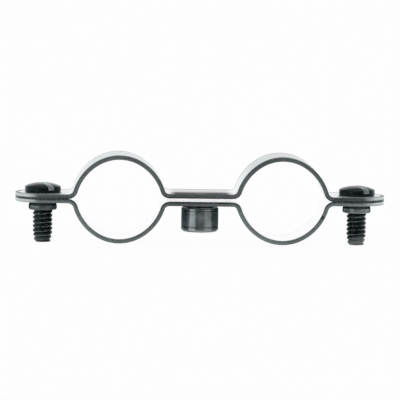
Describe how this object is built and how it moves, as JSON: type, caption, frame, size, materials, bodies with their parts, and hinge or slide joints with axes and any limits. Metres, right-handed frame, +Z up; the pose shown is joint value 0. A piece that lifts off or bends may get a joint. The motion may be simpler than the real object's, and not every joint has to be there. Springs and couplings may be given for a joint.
{
  "type": "double pipe clip",
  "caption": "Double pipe clip: formed steel straps screwed together at their ears hold parallel pipes side by side, with a tapped boss below for a hanger rod",
  "frame": {"origin": "centre of the mouth of the boss's tapped hole", "axes": "+X along the clip from the left screw to the right one, +Y along the pipes, +Z up from the boss through the straps"},
  "size_m": [0.0944, 0.014, 0.0228],
  "materials": {
    "strap_zinc": "zinc plated, satin",
    "turned_zinc": "zinc plated, turned",
    "screw_zinc": "dark zinc plated"
  },
  "bodies": {
    "lower_half": {"lower_strap": "strap_zinc", "threaded_boss": "turned_zinc", "left_nut": "turned_zinc", "right_nut": "turned_zinc"},
    "upper_half": {"upper_strap": "strap_zinc"},
    "left_screw": {"left_screw": "screw_zinc"},
    "right_screw": {"right_screw": "screw_zinc"}
  },
  "joints": [
    {"name": "upper_half_rise", "type": "slide", "parent": "lower_half", "child": "upper_half", "axis": [0, 0, 1], "range_m": [0, 0.011]},
    {"name": "left_screw_turn", "type": "hinge", "parent": "upper_half", "child": "left_screw", "pos_m": [-0.0402, 0, 0.00963], "axis": [0, 0, 1], "range_deg": [0, 3600]},
    {"name": "right_screw_turn", "type": "hinge", "parent": "upper_half", "child": "right_screw", "pos_m": [0.0402, 0, 0.00963], "axis": [0, 0, 1], "range_deg": [0, 3600]}
  ],
  "couplings": [
    {"joint": "left_screw_turn", "follows": "upper_half_rise", "rad_per_m": 5712},
    {"joint": "right_screw_turn", "follows": "upper_half_rise", "rad_per_m": 5712}
  ]
}
